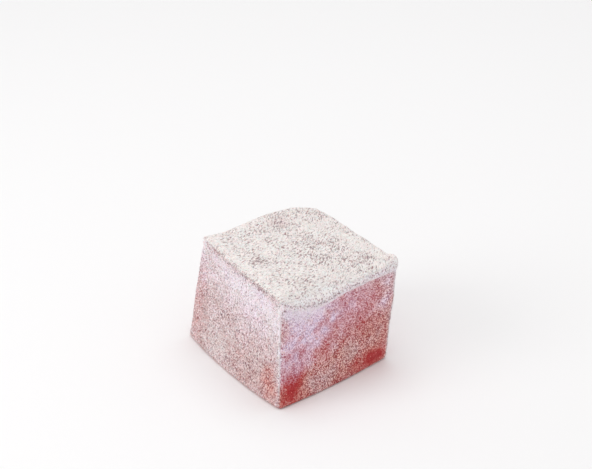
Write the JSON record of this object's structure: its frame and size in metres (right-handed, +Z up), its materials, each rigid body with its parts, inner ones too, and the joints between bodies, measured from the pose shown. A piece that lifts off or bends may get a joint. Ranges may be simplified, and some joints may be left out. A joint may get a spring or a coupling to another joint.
{
  "type": "turkish delight cube",
  "caption": "Single cut cube of rose-red Turkish delight, dusted with white starch and icing sugar, with a rolled-over top edge and slumped sides.",
  "frame": {"origin": "middle of the bounding box at the base, on the surface that the cube rests on", "axes": "+Z up, +X along the cube's longest width, +X and -Y are the two cut sides that show in the usual three-quarter view"},
  "size_m": [0.0364, 0.0326, 0.0249],
  "materials": {
    "dusted_jelly": "matte"
  },
  "bodies": {
    "root": {"delight_cube": "dusted_jelly"}
  },
  "joints": []
}
